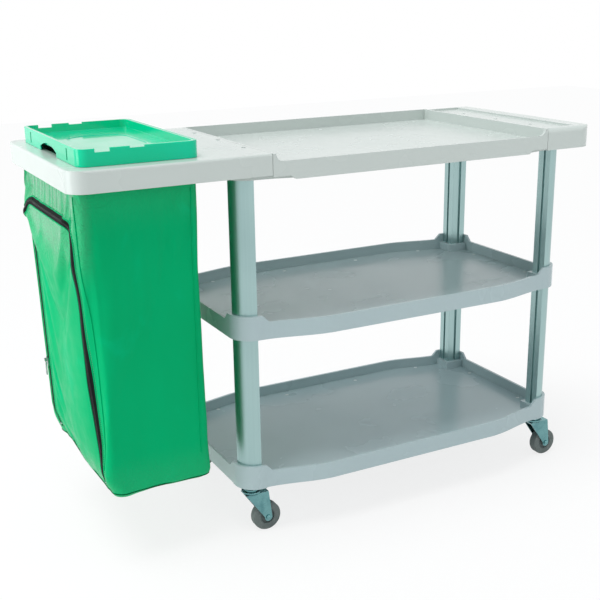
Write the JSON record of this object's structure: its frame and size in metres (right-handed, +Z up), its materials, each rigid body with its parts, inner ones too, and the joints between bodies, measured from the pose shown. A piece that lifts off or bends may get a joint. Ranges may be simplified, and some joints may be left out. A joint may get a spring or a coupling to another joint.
{
  "type": "housekeeping cart",
  "caption": "Long housekeeping cart with open plastic shelves on quarter-round posts, a hanging zipped laundry bag under a hinged lid, a push-handle end and swivel casters.",
  "frame": {"origin": "on the floor under the centre of the bounding box, in the plane the wheels stand on", "axes": "+X along the length from the bag end to the push-handle end, +Y across the cart, +Z up"},
  "size_m": [1.42, 0.56, 1.0085],
  "materials": {
    "deck_plastic": "satin moulded",
    "shelf_plastic": "fine grained",
    "post_aluminium": "anodised, satin",
    "lid_plastic": "glossy",
    "bag_vinyl": "coated vinyl",
    "zinc": "bright zinc plated",
    "zip_fabric": "woven tape",
    "zip_plastic": "coil",
    "zip_metal": "polished",
    "plug_plastic": "satin",
    "hub_plastic": "satin",
    "caster_tyre": "matt"
  },
  "bodies": {
    "cart": {"top_tray": "deck_plastic", "platform": "deck_plastic", "handle_end": "deck_plastic", "mid_shelf": "shelf_plastic", "bottom_shelf": "shelf_plastic", "post_fl_low": "post_aluminium", "post_fr_low": "post_aluminium", "post_bl_low": "post_aluminium", "post_br_low": "post_aluminium", "post_fl_up": "post_aluminium", "post_fr_up": "post_aluminium", "post_bl_up": "post_aluminium", "post_br_up": "post_aluminium", "lid_pins": "zinc", "bag": "bag_vinyl", "bag_hoop": "zinc", "bag_piping": "bag_vinyl", "zip_tape": "zip_fabric", "zip_teeth": "zip_plastic", "zip_stops": "zip_metal", "tray_plugs": "plug_plastic", "mid_plugs": "plug_plastic", "bottom_plugs": "plug_plastic", "tray_screws": "plug_plastic", "caster_stems": "zinc"},
    "lid": {"lid": "lid_plastic"},
    "zip_slider": {"zip_slider": "zip_metal", "zip_pin": "zip_metal"},
    "zip_pull": {"zip_pull": "zip_metal"},
    "swivel_fl": {"fork_fl": "zinc", "axle_fl": "zinc"},
    "wheel_fl": {"hub_fl": "hub_plastic", "tyre_fl": "caster_tyre"},
    "swivel_fr": {"fork_fr": "zinc", "axle_fr": "zinc"},
    "wheel_fr": {"hub_fr": "hub_plastic", "tyre_fr": "caster_tyre"},
    "swivel_bl": {"fork_bl": "zinc", "axle_bl": "zinc"},
    "wheel_bl": {"hub_bl": "hub_plastic", "tyre_bl": "caster_tyre"},
    "swivel_br": {"fork_br": "zinc", "axle_br": "zinc"},
    "wheel_br": {"hub_br": "hub_plastic", "tyre_br": "caster_tyre"}
  },
  "joints": [
    {"name": "lid_hinge", "type": "hinge", "parent": "cart", "child": "lid", "pos_m": [-0.393, 0, 0.978], "axis": [0, 1, 0], "range_deg": [0, 115]},
    {"name": "zip_slide", "type": "slide", "parent": "cart", "child": "zip_slider", "axis": [-0.0229, 0, 0.9997], "range_m": [-0.112, 0.325]},
    {"name": "zip_pull_hinge", "type": "hinge", "parent": "zip_slider", "child": "zip_pull", "pos_m": [-0.68411, 0.192, 0.41142], "axis": [0, 1, 0], "range_deg": [-3, 165]},
    {"name": "swivel_fl", "type": "hinge", "parent": "cart", "child": "swivel_fl", "pos_m": [-0.29148, -0.20948, 0.118], "axis": [0, 0, 1], "continuous": true},
    {"name": "spin_fl", "type": "hinge", "parent": "swivel_fl", "child": "wheel_fl", "pos_m": [-0.25348, -0.20948, 0.0375], "axis": [0, 1, 0], "continuous": true},
    {"name": "swivel_fr", "type": "hinge", "parent": "cart", "child": "swivel_fr", "pos_m": [0.61748, -0.20948, 0.118], "axis": [0, 0, 1], "continuous": true},
    {"name": "spin_fr", "type": "hinge", "parent": "swivel_fr", "child": "wheel_fr", "pos_m": [0.65548, -0.20948, 0.0375], "axis": [0, 1, 0], "continuous": true},
    {"name": "swivel_bl", "type": "hinge", "parent": "cart", "child": "swivel_bl", "pos_m": [-0.29148, 0.20948, 0.118], "axis": [0, 0, 1], "continuous": true},
    {"name": "spin_bl", "type": "hinge", "parent": "swivel_bl", "child": "wheel_bl", "pos_m": [-0.25348, 0.20948, 0.0375], "axis": [0, 1, 0], "continuous": true},
    {"name": "swivel_br", "type": "hinge", "parent": "cart", "child": "swivel_br", "pos_m": [0.61748, 0.20948, 0.118], "axis": [0, 0, 1], "continuous": true},
    {"name": "spin_br", "type": "hinge", "parent": "swivel_br", "child": "wheel_br", "pos_m": [0.65548, 0.20948, 0.0375], "axis": [0, 1, 0], "continuous": true}
  ]
}
